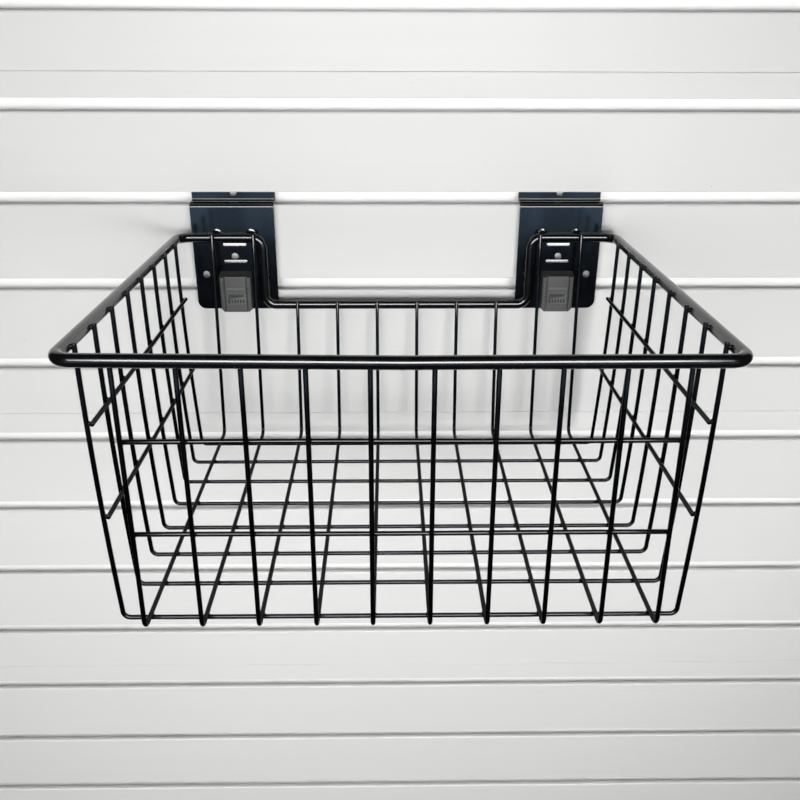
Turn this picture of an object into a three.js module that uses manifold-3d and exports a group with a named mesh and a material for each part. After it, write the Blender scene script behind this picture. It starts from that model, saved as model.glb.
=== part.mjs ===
// A slatwall panel with a wire basket hooked into its slots.
//
// Four interlocking PVC planks make the panel, with four T-slots across each plank. A welded wire
// basket hangs on two sheet steel brackets. Each bracket's tongue hooks up behind the upper lip of a
// slot, and a sliding lock below it reaches down behind the lower lip of the next slot.
//
// Millimetres. X runs along the slots, the panel faces -Y and +Z is up. The origin is on the panel's
// back face, half way along it and level with the top of the slot that holds the brackets' tongues.

import * as THREE from "three";
import { mergeVertices } from "three/addons/utils/BufferGeometryUtils.js";
import Module from "manifold-3d";

const wasm = await Module();
wasm.setup();

// ---------------------------------------------------------------- driving dimensions

const FIT_GAP = 0.3; // clear gap left where two pieces touch or are welded

// Panel
const PANEL_WIDTH = 1219.2;
const PANEL_THICKNESS = 16;
const PLANK_COUNT = 4;
const PLANK_HEIGHT = 304.8;
const SLOTS_PER_PLANK = 4;
const SLOT_PITCH = 76.2;
const FIRST_SLOT_DROP = 20.6; // plank's top edge down to its first slot
const SLOT_OPENING = 10.5;
const LIP_THICKNESS = 4.5;
const CAVITY_BACK = 12; // depth of the slot's back wall behind the face
const CAVITY_RISE = 8; // cavity above the opening
const CAVITY_DROP = 7; // cavity below the opening
const EDGE_TONGUE_THICKNESS = 5;
const EDGE_TONGUE_HEIGHT = 6;
const EDGE_CHAMFER = 0.7;

// Panel screws
const SCREW_X = 575;
const SCREW_SLOTS = [0, 3]; // slots of each plank that hold screws
const SCREW_HEAD_RADIUS = 4.2;
const SCREW_HEAD_HEIGHT = 2.6;
const SCREW_SHANK_RADIUS = 2;
const SCREW_HOLE_RADIUS = 2.4;
const SCREW_REACH = 22; // length into the wall behind the panel

// Basket
const RIM_WIDTH = { back: 378.4, front: 375.6 };
const RIM_BACK = 11; // rim's centre line in front of the panel's face
const RIM_FRONT = 314.8;
const RIM_DROP = 37; // rim's centre line below the hook slot
const RIM_FRONT_DROP = { left: 34.8, middle: 36.8, right: 36.2 }; // the front rod sags a little
const RIM_ROD_RADIUS = 4;
const RIM_CORNER_RADIUS = 11;
const DIP_HALF_WIDTH = 116.5; // the back rim dips between the two brackets
const DIP_DEPTH = 60;
const DIP_TOP_RADIUS = 10;
const DIP_BOTTOM_RADIUS = 9;
const WIRE_RADIUS = 1.5;
const WIRE_PITCH = 35.3;
const LONG_WIRE_COUNT = 10; // wires that run from the back to the front
const CROSS_WIRE_COUNT = 8; // wires that run from side to side
const FLOOR_DROP = 213; // long wires' floor below the hook slot
const FLOOR_BACK = 33.5;
const FLOOR_FRONT = 312.7;
const FLOOR_WIDTH = 353.2;
const CROSS_WIRE_FRONT = 293.1;
const CROSS_WIRE_LEAN = 4; // cross wires' floor is this far forward of their tops
const LEG_BOW = 1.5; // cross wires' legs bow outwards this much half way down
const LONG_BEND_RADIUS = 6;
const CROSS_BEND_RADIUS = 4.5;
const FRONT_TOP_BELOW_RIM = 1.8; // long wires' front tops stop short of the rim's top
const FRONT_GIRTH_DROPS = { upper: 87.5, lower: 147.8 };
const SIDE_GIRTH_DROPS = { upper: 81.8, lower: 142.9 };
const FRONT_GIRTH_OVERHANG = 0.8; // beyond the outermost leg's centre line
const SIDE_GIRTH_OVERHANG = { front: 1.5, back: 2.5 };

// Brackets
const BRACKET_X = 142;
const BRACKET_WIDTH = 72;
const SHEET = 2;
const PLATE_FACE = 6.7; // plate's front surface in front of the panel's face
const PLATE_DROP = 102; // plate's lower edge below the hook slot
const PLATE_CORNER_RADIUS = 7;
const SHELF_DROP = 8.8; // shelf's centre line below the top of the slot opening
const SHELF_FALL = 1.6; // the shelf falls this much between the lip and the plate
const TONGUE_DEPTH = 7.3; // tongue's centre line behind the panel's face
const TONGUE_RISE = 6.5;
const NOTCH = { width: 6, drop: 3.8 };
const BRACKET_HOLE_RADIUS = 3;
const CENTRE_HOLE_DROP = 54.5;
const SIDE_HOLE = { offset: 26.4, drop: 70.5 };
const BEAD = { width: 21, height: 2.4, proud: 0.5, drops: [44, 58.9] };

// Locks
const LOCK = { width: 28, top: 67.5, slope: 3.4, bottom: 102.5, thickness: 10, chamfer: 3.2 };
const LOCK_TRAVEL = 4.6;
const LOCK_RIDGE = { width: 4, proud: 1.2 }; // a ridge down each side of the lock's front
const LOCK_GRIP = { width: 16.5, proud: 0.7, bars: [{ drop: 81, height: 2.2 }, { drop: 90, height: 10.6 }] };
const LOCK_NECK = { width: 12, height: 4 };
const LOCK_HOOK = { front: 5, back: 8.5, reach: 4.2 };

// Where the panel's face and its top edge are, from the origin at the hook slot
const HOOK_PLANK = 1; // the second plank from the top holds the basket
const HOOK_SLOT = 1; // in its second slot
const FACE_Y = -PANEL_THICKNESS;
const PANEL_TOP_Z = HOOK_PLANK * PLANK_HEIGHT + FIRST_SLOT_DROP + HOOK_SLOT * SLOT_PITCH;

// Distance between the centre lines of two crossing welded wires, and of a wire and the rim
const WIRE_TO_WIRE = 2 * WIRE_RADIUS + FIT_GAP;
const WIRE_TO_RIM = RIM_ROD_RADIUS + WIRE_RADIUS + FIT_GAP;

// Cross wires' tops and floor below the hook slot, and how much of a leg takes part in its bow
const LEG_TOP_DROP = RIM_DROP - RIM_ROD_RADIUS;
const CROSS_FLOOR_DROP = FLOOR_DROP + WIRE_TO_WIRE;
const LEG_BEND_SHARE = 0.9;

// ---------------------------------------------------------------- materials

const whitePvc = new THREE.MeshStandardMaterial({ color: 0xe9e8e4, roughness: 0.35, metalness: 0 });
const blackCoat = new THREE.MeshStandardMaterial({ color: 0x08090c, roughness: 0.22, metalness: 0.1 });
const blackSheet = new THREE.MeshStandardMaterial({ color: 0x0a0f16, roughness: 0.3, metalness: 0.1 });
const greyPlastic = new THREE.MeshStandardMaterial({ color: 0x454545, roughness: 0.6, metalness: 0 });
const zinc = new THREE.MeshStandardMaterial({ color: 0xb9bcc0, roughness: 0.35, metalness: 1 });

// ---------------------------------------------------------------- helpers

// Top of a slot's opening.
function slotTopZ(plank, slot) {
  const plankTop = PANEL_TOP_Z - plank * PLANK_HEIGHT;
  return plankTop - FIRST_SLOT_DROP - slot * SLOT_PITCH;
}

// A point given as X, distance in front of the panel's face, and drop below the hook slot.
function fromHook(x, forward, drop) {
  return new THREE.Vector3(x, FACE_Y - forward, -drop);
}

function toSolid(geometry) {
  const bare = geometry.clone();
  bare.deleteAttribute("normal");
  bare.deleteAttribute("uv");
  const merged = mergeVertices(bare, 1e-4);
  const mesh = new wasm.Mesh({
    numProp: 3,
    vertProperties: new Float32Array(merged.attributes.position.array),
    triVerts: new Uint32Array(merged.index.array),
  });
  return new wasm.Manifold(mesh);
}

function toGeometry(solid) {
  const { vertProperties, triVerts } = solid.getMesh();
  const geometry = new THREE.BufferGeometry();
  geometry.setAttribute("position", new THREE.BufferAttribute(new Float32Array(vertProperties), 3));
  geometry.setIndex(new THREE.BufferAttribute(new Uint32Array(triVerts), 1));
  const faceted = geometry.toNonIndexed();
  faceted.computeVertexNormals();
  return faceted;
}

// Extrudes an outline drawn in (Y, Z) along X, centred on x.
function extrudeAlongX(shape, width, x) {
  const geometry = new THREE.ExtrudeGeometry(shape, {
    depth: width,
    bevelEnabled: false,
    curveSegments: 3,
  });
  const axes = new THREE.Matrix4().makeBasis(
    new THREE.Vector3(0, 1, 0),
    new THREE.Vector3(0, 0, 1),
    new THREE.Vector3(1, 0, 0),
  );
  geometry.applyMatrix4(axes);
  geometry.translate(x - width / 2, 0, 0);
  return geometry;
}

// Extrudes an outline drawn in (X, Z) along Y, from yFront to yBack.
function extrudeAlongY(shape, yFront, yBack) {
  const geometry = new THREE.ExtrudeGeometry(shape, {
    depth: yBack - yFront,
    bevelEnabled: false,
    curveSegments: 4,
  });
  geometry.rotateX(Math.PI / 2);
  geometry.translate(0, yBack, 0);
  return geometry;
}

function box(sizeX, sizeY, sizeZ, centre) {
  const geometry = new THREE.BoxGeometry(sizeX, sizeY, sizeZ);
  geometry.translate(centre.x, centre.y, centre.z);
  return geometry;
}

// A cylinder along Y.
function pinAlongY(radius, length, centre) {
  const geometry = new THREE.CylinderGeometry(radius, radius, length, 14);
  geometry.translate(centre.x, centre.y, centre.z);
  return geometry;
}

// Points of a rod that runs through the corners, with a round bend at each inner corner.
function bentPath(corners, radii, stepsPerBend) {
  const points = [corners[0].clone()];
  for (let i = 1; i < corners.length - 1; i += 1) {
    const before = corners[i].clone().sub(corners[i - 1]).normalize();
    const after = corners[i + 1].clone().sub(corners[i]).normalize();
    const turn = before.angleTo(after);
    const inward = after.clone().addScaledVector(before, -before.dot(after)).normalize();
    const setback = radii[i - 1] * Math.tan(turn / 2);
    const start = corners[i].clone().addScaledVector(before, -setback);
    for (let step = 0; step <= stepsPerBend; step += 1) {
      const angle = (turn * step) / stepsPerBend;
      const point = start.clone();
      point.addScaledVector(before, radii[i - 1] * Math.sin(angle));
      point.addScaledVector(inward, radii[i - 1] * (1 - Math.cos(angle)));
      points.push(point);
    }
  }
  points.push(corners[corners.length - 1].clone());
  return points;
}

// A curve through given stations, sampled exactly at those stations.
class StationCurve extends THREE.Curve {
  constructor(stations) {
    super();
    this.stations = stations;
  }

  getPoint(t, target = new THREE.Vector3()) {
    const last = this.stations.length - 1;
    const at = Math.min(t * last, last - 1e-9);
    const index = Math.floor(at);
    return target.lerpVectors(this.stations[index], this.stations[index + 1], at - index);
  }

  getTangent(t, target = new THREE.Vector3()) {
    const last = this.stations.length - 1;
    const index = Math.round(t * last);
    const here = this.stations[index];
    target.set(0, 0, 0);
    if (index > 0) target.add(here.clone().sub(this.stations[index - 1]).normalize());
    if (index < last) target.add(this.stations[index + 1].clone().sub(here).normalize());
    return target.normalize();
  }

  getUtoTmapping(u) {
    return u;
  }
}

// A round rod along the points, with flat ends.
function rod(points, radius, sides) {
  const section = new THREE.Shape();
  for (let i = 0; i < sides; i += 1) {
    const angle = (2 * Math.PI * (i + 0.5)) / sides;
    const x = radius * Math.cos(angle);
    const y = radius * Math.sin(angle);
    if (i === 0) section.moveTo(x, y);
    else section.lineTo(x, y);
  }
  section.closePath();
  return new THREE.ExtrudeGeometry(section, {
    steps: points.length - 1,
    extrudePath: new StationCurve(points),
    bevelEnabled: false,
  });
}

const fixture = new THREE.Group();

function addMesh(name, geometry, material) {
  const mesh = new THREE.Mesh(geometry, material);
  mesh.name = name;
  fixture.add(mesh);
}

// ---------------------------------------------------------------- panel

// One T-slot of a plank's face, drawn downwards from the upper lip to the lower lip.
function drawSlot(outline, top) {
  const lipRear = FACE_Y + LIP_THICKNESS;
  const cavityRear = FACE_Y + CAVITY_BACK;
  const bottom = top - SLOT_OPENING;
  outline.lineTo(FACE_Y, top + 1);
  outline.quadraticCurveTo(FACE_Y, top, FACE_Y + 1, top);
  outline.lineTo(lipRear, top);
  outline.lineTo(lipRear, top + CAVITY_RISE);
  outline.lineTo(cavityRear, top + CAVITY_RISE);
  outline.lineTo(cavityRear, bottom - CAVITY_DROP);
  outline.lineTo(lipRear, bottom - CAVITY_DROP);
  outline.lineTo(lipRear, bottom - 1);
  outline.quadraticCurveTo(lipRear, bottom, lipRear - 1, bottom);
  outline.lineTo(FACE_Y + 2, bottom);
  outline.quadraticCurveTo(FACE_Y, bottom, FACE_Y, bottom - 2);
}

// A plank's section in (Y, Z): slots in the face, a tongue on top and a groove underneath.
function plankOutline(plank) {
  const top = PANEL_TOP_Z - plank * PLANK_HEIGHT;
  const bottom = top - PLANK_HEIGHT + FIT_GAP;
  const middle = FACE_Y / 2;
  const tongueHalf = EDGE_TONGUE_THICKNESS / 2;
  const grooveHalf = tongueHalf + FIT_GAP;
  const outline = new THREE.Shape();
  outline.moveTo(FACE_Y, top - EDGE_CHAMFER);
  for (let slot = 0; slot < SLOTS_PER_PLANK; slot += 1) {
    drawSlot(outline, slotTopZ(plank, slot));
  }
  outline.lineTo(FACE_Y, bottom + EDGE_CHAMFER);
  outline.lineTo(FACE_Y + EDGE_CHAMFER, bottom);
  outline.lineTo(middle - grooveHalf, bottom);
  outline.lineTo(middle - grooveHalf, bottom + EDGE_TONGUE_HEIGHT);
  outline.lineTo(middle + grooveHalf, bottom + EDGE_TONGUE_HEIGHT);
  outline.lineTo(middle + grooveHalf, bottom);
  outline.lineTo(0, bottom);
  outline.lineTo(0, top);
  outline.lineTo(middle + tongueHalf, top);
  outline.lineTo(middle + tongueHalf, top + EDGE_TONGUE_HEIGHT - 2 * FIT_GAP);
  outline.lineTo(middle - tongueHalf, top + EDGE_TONGUE_HEIGHT - 2 * FIT_GAP);
  outline.lineTo(middle - tongueHalf, top);
  outline.lineTo(FACE_Y + EDGE_CHAMFER, top);
  outline.closePath();
  return outline;
}

// Places where a plank is screwed to the wall: the middle of a slot's back wall.
function screwPlaces(plank) {
  const places = [];
  for (const slot of SCREW_SLOTS) {
    for (const side of [-1, 1]) {
      const z = slotTopZ(plank, slot) - SLOT_OPENING / 2;
      places.push(new THREE.Vector3(side * SCREW_X, FACE_Y + CAVITY_BACK, z));
    }
  }
  return places;
}

function buildPlank(plank) {
  let solid = toSolid(extrudeAlongX(plankOutline(plank), PANEL_WIDTH, 0));
  for (const place of screwPlaces(plank)) {
    solid = solid.subtract(toSolid(pinAlongY(SCREW_HOLE_RADIUS, PANEL_THICKNESS, place)));
  }
  return toGeometry(solid);
}

// A pan head screw along Y, its head against the slot's back wall.
function buildScrew(place) {
  const wall = -FACE_Y - CAVITY_BACK;
  const underHead = -FIT_GAP;
  const tip = wall + SCREW_REACH;
  const profile = [
    [0, underHead - SCREW_HEAD_HEIGHT],
    [SCREW_HEAD_RADIUS * 0.6, underHead - SCREW_HEAD_HEIGHT],
    [SCREW_HEAD_RADIUS, underHead - SCREW_HEAD_HEIGHT * 0.5],
    [SCREW_HEAD_RADIUS, underHead],
    [SCREW_SHANK_RADIUS, underHead],
    [SCREW_SHANK_RADIUS, tip - 4],
    [0, tip],
  ];
  const points = profile.map(([radius, y]) => new THREE.Vector2(radius, y));
  const geometry = new THREE.LatheGeometry(points, 12);
  geometry.translate(place.x, place.y, place.z);
  return geometry;
}

function addPanel() {
  let screw = 1;
  for (let plank = 0; plank < PLANK_COUNT; plank += 1) {
    addMesh(`slat_plank_${plank + 1}`, buildPlank(plank), whitePvc);
    for (const place of screwPlaces(plank)) {
      addMesh(`panel_screw_${screw}`, buildScrew(place), zinc);
      screw += 1;
    }
  }
}

// ---------------------------------------------------------------- basket

// The rim rod starts and ends at the butt weld in the middle of the front.
function addRim() {
  const back = RIM_WIDTH.back / 2;
  const front = RIM_WIDTH.front / 2;
  const dipDrop = RIM_DROP + DIP_DEPTH;
  const weld = FIT_GAP / 2;
  const corners = [
    fromHook(weld, RIM_FRONT, RIM_FRONT_DROP.middle),
    fromHook(front, RIM_FRONT, RIM_FRONT_DROP.right),
    fromHook(back, RIM_BACK, RIM_DROP),
    fromHook(DIP_HALF_WIDTH, RIM_BACK, RIM_DROP),
    fromHook(DIP_HALF_WIDTH, RIM_BACK, dipDrop),
    fromHook(-DIP_HALF_WIDTH, RIM_BACK, dipDrop),
    fromHook(-DIP_HALF_WIDTH, RIM_BACK, RIM_DROP),
    fromHook(-back, RIM_BACK, RIM_DROP),
    fromHook(-front, RIM_FRONT, RIM_FRONT_DROP.left),
    fromHook(-weld, RIM_FRONT, RIM_FRONT_DROP.middle),
  ];
  const dip = [DIP_TOP_RADIUS, DIP_BOTTOM_RADIUS, DIP_BOTTOM_RADIUS, DIP_TOP_RADIUS];
  const radii = [RIM_CORNER_RADIUS, RIM_CORNER_RADIUS, ...dip, RIM_CORNER_RADIUS, RIM_CORNER_RADIUS];
  addMesh("rim_rod", rod(bentPath(corners, radii, 4), RIM_ROD_RADIUS, 10), blackCoat);
}

// A long wire drops from the back rim, runs under the load to the front and rises to the front rim.
function addLongWires() {
  for (let i = 0; i < LONG_WIRE_COUNT; i += 1) {
    const x = (i - (LONG_WIRE_COUNT - 1) / 2) * WIRE_PITCH;
    const inDip = Math.abs(x) < DIP_HALF_WIDTH;
    const backDrop = inDip ? RIM_DROP + DIP_DEPTH : RIM_DROP;
    const corners = [
      fromHook(x, RIM_BACK + WIRE_TO_RIM, backDrop - RIM_ROD_RADIUS),
      fromHook(x, FLOOR_BACK, FLOOR_DROP),
      fromHook(x, FLOOR_FRONT, FLOOR_DROP),
      fromHook(x, RIM_FRONT - WIRE_TO_RIM, RIM_DROP - FRONT_TOP_BELOW_RIM),
    ];
    const path = bentPath(corners, [LONG_BEND_RADIUS, LONG_BEND_RADIUS], 4);
    addMesh(`long_wire_${i + 1}`, rod(path, WIRE_RADIUS, 8), blackCoat);
  }
}

// Half of the rim's width at a distance in front of the panel's face.
function rimHalfWidth(forward) {
  const fraction = (forward - RIM_BACK) / (RIM_FRONT - RIM_BACK);
  return (RIM_WIDTH.back + (RIM_WIDTH.front - RIM_WIDTH.back) * fraction) / 2;
}

// How far the straight line of a cross wire's leg is from the middle at a drop below the hook slot.
function legLineHalfWidth(drop, forward) {
  const atRim = rimHalfWidth(forward) - WIRE_TO_RIM;
  const atFloor = FLOOR_WIDTH / 2;
  const fraction = (drop - RIM_DROP) / (FLOOR_DROP - RIM_DROP);
  return atRim + (atFloor - atRim) * fraction;
}

// The same for the bowed leg itself.
function legHalfWidth(drop, forward) {
  const fraction = (drop - LEG_TOP_DROP) / (CROSS_FLOOR_DROP - LEG_TOP_DROP);
  return legLineHalfWidth(drop, forward) + 4 * LEG_BOW * fraction * (1 - fraction);
}

// A cross wire drops from one side rim, runs below the long wires and rises to the other side rim.
function addCrossWires() {
  const middleDrop = (LEG_TOP_DROP + CROSS_FLOOR_DROP) / 2;
  const halfLeg = middleDrop - LEG_TOP_DROP;
  const bowBend = halfLeg * LEG_BEND_SHARE; // length of the bowed stretch on each side of the middle
  const bowCorner = LEG_BOW / (1 - LEG_BEND_SHARE / 2);
  const bowRadius = (bowBend * halfLeg) / bowCorner;
  const radii = [bowRadius, CROSS_BEND_RADIUS, CROSS_BEND_RADIUS, bowRadius];
  for (let i = 0; i < CROSS_WIRE_COUNT; i += 1) {
    const top = CROSS_WIRE_FRONT - i * WIRE_PITCH;
    const floor = top + CROSS_WIRE_LEAN;
    const middle = (top + floor) / 2;
    const atTop = legLineHalfWidth(LEG_TOP_DROP, top);
    const atMiddle = legLineHalfWidth(middleDrop, top) + bowCorner;
    const atFloor = legLineHalfWidth(CROSS_FLOOR_DROP, top);
    const corners = [
      fromHook(-atTop, top, LEG_TOP_DROP),
      fromHook(-atMiddle, middle, middleDrop),
      fromHook(-atFloor, floor, CROSS_FLOOR_DROP),
      fromHook(atFloor, floor, CROSS_FLOOR_DROP),
      fromHook(atMiddle, middle, middleDrop),
      fromHook(atTop, top, LEG_TOP_DROP),
    ];
    addMesh(`cross_wire_${i + 1}`, rod(bentPath(corners, radii, 4), WIRE_RADIUS, 8), blackCoat);
  }
}

// Straight wires around the middle, on the inner side of the upright legs.
function addGirthWires() {
  const frontHalf = ((LONG_WIRE_COUNT - 1) / 2) * WIRE_PITCH + FRONT_GIRTH_OVERHANG;
  for (const [level, drop] of Object.entries(FRONT_GIRTH_DROPS)) {
    const fraction = (drop - RIM_DROP) / (FLOOR_DROP - RIM_DROP);
    const rimLeg = RIM_FRONT - WIRE_TO_RIM;
    const forward = rimLeg + (FLOOR_FRONT - rimLeg) * fraction - WIRE_TO_WIRE;
    const ends = [fromHook(-frontHalf, forward, drop), fromHook(frontHalf, forward, drop)];
    addMesh(`front_girth_wire_${level}`, rod(ends, WIRE_RADIUS, 8), blackCoat);
  }
  const backWire = CROSS_WIRE_FRONT - (CROSS_WIRE_COUNT - 1) * WIRE_PITCH;
  for (const [level, drop] of Object.entries(SIDE_GIRTH_DROPS)) {
    const lean = (CROSS_WIRE_LEAN * (drop - RIM_DROP)) / (FLOOR_DROP - RIM_DROP);
    const front = CROSS_WIRE_FRONT + SIDE_GIRTH_OVERHANG.front;
    const back = backWire - SIDE_GIRTH_OVERHANG.back;
    for (const [hand, side] of [["left", -1], ["right", 1]]) {
      const ends = [front, back].map((forward) => {
        const x = legHalfWidth(drop, forward) - WIRE_TO_WIRE;
        return fromHook(side * x, forward + lean, drop);
      });
      addMesh(`${hand}_girth_wire_${level}`, rod(ends, WIRE_RADIUS, 8), blackCoat);
    }
  }
}

// ---------------------------------------------------------------- brackets and locks

// The bracket's bent sheet in (Y, Z): plate up, shelf back over the lower lip, tongue up.
function bracketOutline() {
  const plateY = PLATE_FACE - SHEET / 2;
  const centreLine = bentPath(
    [
      fromHook(0, plateY, PLATE_DROP),
      fromHook(0, plateY, SHELF_DROP + SHELF_FALL),
      fromHook(0, 0.6, SHELF_DROP),
      fromHook(0, -TONGUE_DEPTH, SHELF_DROP),
      fromHook(0, -TONGUE_DEPTH, -TONGUE_RISE),
    ],
    [2, 3, 2.2],
    3,
  );
  const curve = new StationCurve(centreLine);
  const last = centreLine.length - 1;
  const offsetPoint = (index, offset) => {
    const tangent = curve.getTangent(index / last);
    const point = centreLine[index];
    return new THREE.Vector2(point.y - tangent.z * offset, point.z + tangent.y * offset);
  };
  const points = [];
  for (let i = 0; i <= last; i += 1) points.push(offsetPoint(i, SHEET / 2));
  for (let i = last; i >= 0; i -= 1) points.push(offsetPoint(i, -SHEET / 2));
  return new THREE.Shape(points);
}

// The block of material outside the plate's two rounded lower corners.
function cornerCutters(centreX) {
  const cutters = [];
  for (const side of [-1, 1]) {
    const edge = centreX + (side * BRACKET_WIDTH) / 2;
    const inner = edge - side * PLATE_CORNER_RADIUS;
    const low = -PLATE_DROP;
    const shape = new THREE.Shape();
    shape.moveTo(inner, low - 1);
    shape.lineTo(inner, low);
    for (let step = 1; step <= 5; step += 1) {
      const angle = (Math.PI / 2) * (step / 5);
      const x = inner + side * PLATE_CORNER_RADIUS * Math.sin(angle);
      const z = low + PLATE_CORNER_RADIUS * (1 - Math.cos(angle));
      shape.lineTo(x, z);
    }
    shape.lineTo(edge + side, low + PLATE_CORNER_RADIUS);
    shape.lineTo(edge + side, low - 1);
    shape.closePath();
    cutters.push(extrudeAlongY(shape, FACE_Y - PLATE_FACE - 1, FACE_Y - 1));
  }
  return cutters;
}

function buildBracket(centreX) {
  let solid = toSolid(extrudeAlongX(bracketOutline(), BRACKET_WIDTH, centreX));
  const holes = [
    [centreX, CENTRE_HOLE_DROP],
    [centreX - SIDE_HOLE.offset, SIDE_HOLE.drop],
    [centreX + SIDE_HOLE.offset, SIDE_HOLE.drop],
  ];
  for (const [x, drop] of holes) {
    const pin = pinAlongY(BRACKET_HOLE_RADIUS, 6 * SHEET, fromHook(x, PLATE_FACE, drop));
    solid = solid.subtract(toSolid(pin));
  }
  for (const cutter of cornerCutters(centreX)) {
    solid = solid.subtract(toSolid(cutter));
  }
  const notchTop = fromHook(centreX, -TONGUE_DEPTH, (NOTCH.drop - TONGUE_RISE - 1) / 2);
  const notch = box(NOTCH.width, 2 * SHEET, NOTCH.drop + TONGUE_RISE + 1, notchTop);
  solid = solid.subtract(toSolid(notch));
  const windowTop = neckDrop() - LOCK_NECK.height / 2 - LOCK_TRAVEL - 2 * FIT_GAP;
  const windowBottom = neckDrop() + LOCK_NECK.height / 2 + 2 * FIT_GAP;
  const windowCentre = fromHook(centreX, PLATE_FACE, (windowTop + windowBottom) / 2);
  const window = box(LOCK_NECK.width + 4 * FIT_GAP, 4 * SHEET, windowBottom - windowTop, windowCentre);
  solid = solid.subtract(toSolid(window));
  for (const drop of BEAD.drops) {
    const depth = BEAD.proud + 0.5;
    const centre = fromHook(centreX, PLATE_FACE + BEAD.proud - depth / 2, drop);
    solid = solid.add(toSolid(box(BEAD.width, depth, BEAD.height, centre)));
  }
  return toGeometry(solid);
}

// Drop of the lock's neck, which rests just above the lower lip of the slot below the hook slot.
function neckDrop() {
  return SLOT_PITCH + SLOT_OPENING - FIT_GAP - LOCK_NECK.height / 2;
}

// The lock's block: its top slopes down to the front and its lower corners are cut off.
function lockBlock(centreX, front, back) {
  const half = LOCK.width / 2;
  const low = -LOCK.bottom;
  const high = -LOCK.top;
  const face = new THREE.Shape();
  face.moveTo(centreX - half, high);
  face.lineTo(centreX - half, low + LOCK.chamfer);
  face.lineTo(centreX - half + LOCK.chamfer, low);
  face.lineTo(centreX + half - LOCK.chamfer, low);
  face.lineTo(centreX + half, low + LOCK.chamfer);
  face.lineTo(centreX + half, high);
  face.closePath();
  const side = new THREE.Shape();
  side.moveTo(back, high);
  side.lineTo(front, high - LOCK.slope);
  side.lineTo(front, low);
  side.lineTo(back, low);
  side.closePath();
  const faceSolid = toSolid(extrudeAlongY(face, front, back));
  return faceSolid.intersect(toSolid(extrudeAlongX(side, LOCK.width, centreX)));
}

function buildLock(centreX) {
  const back = FACE_Y - PLATE_FACE - FIT_GAP;
  const front = back - LOCK.thickness;
  let solid = lockBlock(centreX, front, back);

  const recessCentre = fromHook(centreX, 0, (LOCK.top + LOCK.bottom) / 2);
  recessCentre.y = front;
  const recessWidth = LOCK.width - 2 * LOCK_RIDGE.width;
  const recess = box(recessWidth, 2 * LOCK_RIDGE.proud, LOCK.bottom - LOCK.top + 2, recessCentre);
  solid = solid.subtract(toSolid(recess));

  for (const bar of LOCK_GRIP.bars) {
    const centre = fromHook(centreX, 0, bar.drop);
    centre.y = front + LOCK_RIDGE.proud;
    solid = solid.add(toSolid(box(LOCK_GRIP.width, 2 * LOCK_GRIP.proud, bar.height, centre)));
  }

  const neckFront = back - 1;
  const hookBack = FACE_Y + LOCK_HOOK.back;
  const neckCentre = fromHook(centreX, 0, neckDrop());
  neckCentre.y = (neckFront + hookBack) / 2;
  solid = solid.add(toSolid(box(LOCK_NECK.width, hookBack - neckFront, LOCK_NECK.height, neckCentre)));

  const hookHeight = LOCK_NECK.height + LOCK_HOOK.reach;
  const hookCentre = fromHook(centreX, 0, neckDrop() + LOCK_HOOK.reach / 2);
  hookCentre.y = FACE_Y + (LOCK_HOOK.front + LOCK_HOOK.back) / 2;
  const hook = box(LOCK_NECK.width, LOCK_HOOK.back - LOCK_HOOK.front, hookHeight, hookCentre);
  solid = solid.add(toSolid(hook));
  return toGeometry(solid);
}

function addBrackets() {
  for (const [hand, side] of [["left", -1], ["right", 1]]) {
    addMesh(`bracket_plate_${hand}`, buildBracket(side * BRACKET_X), blackSheet);
    addMesh(`bracket_lock_${hand}`, buildLock(side * BRACKET_X), greyPlastic);
  }
}

addPanel();
addRim();
addLongWires();
addCrossWires();
addGirthWires();
addBrackets();

export default fixture;
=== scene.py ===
"""Looks for a slatwall panel with a wire basket hooked into its slots.

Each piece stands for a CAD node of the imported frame, except the welds, pressed beads and grips,
which no node has. X runs along the slots, the panel faces -Y and +Z is up. The origin is on the
panel's back face, level with the top of the hook slot. Shapes are given in millimetres as X,
distance in front of the panel's face ("forward") and drop below the hook slot.
"""

import math
import random

import bmesh
import bpy
from mathutils import Matrix, Vector, noise


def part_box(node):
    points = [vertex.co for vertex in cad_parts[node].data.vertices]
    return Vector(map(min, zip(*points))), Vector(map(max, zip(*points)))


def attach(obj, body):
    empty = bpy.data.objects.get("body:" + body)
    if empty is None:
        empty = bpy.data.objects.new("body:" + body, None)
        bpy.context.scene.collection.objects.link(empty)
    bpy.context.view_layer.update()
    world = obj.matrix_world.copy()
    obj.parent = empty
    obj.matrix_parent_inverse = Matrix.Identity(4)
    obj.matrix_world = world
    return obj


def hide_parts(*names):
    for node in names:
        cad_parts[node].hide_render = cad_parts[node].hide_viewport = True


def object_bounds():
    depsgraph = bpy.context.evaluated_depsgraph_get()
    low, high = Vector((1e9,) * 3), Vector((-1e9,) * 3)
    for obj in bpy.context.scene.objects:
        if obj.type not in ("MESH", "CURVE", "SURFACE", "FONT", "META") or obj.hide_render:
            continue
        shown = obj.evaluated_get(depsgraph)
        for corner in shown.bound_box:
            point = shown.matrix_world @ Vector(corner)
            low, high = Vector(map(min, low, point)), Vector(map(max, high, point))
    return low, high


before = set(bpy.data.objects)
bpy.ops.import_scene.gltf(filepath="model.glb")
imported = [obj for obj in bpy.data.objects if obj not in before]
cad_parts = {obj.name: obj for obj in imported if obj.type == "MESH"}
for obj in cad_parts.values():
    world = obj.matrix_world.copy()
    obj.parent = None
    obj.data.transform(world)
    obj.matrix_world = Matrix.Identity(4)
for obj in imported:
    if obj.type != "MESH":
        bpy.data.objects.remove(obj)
cad_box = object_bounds()

MM = 0.001
SEED = 11
SIDES = (("left", -1), ("right", 1))
DRILL_SIDES = 32

# -------- dimensions, in millimetres

FACE_Y = -16.0

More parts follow.
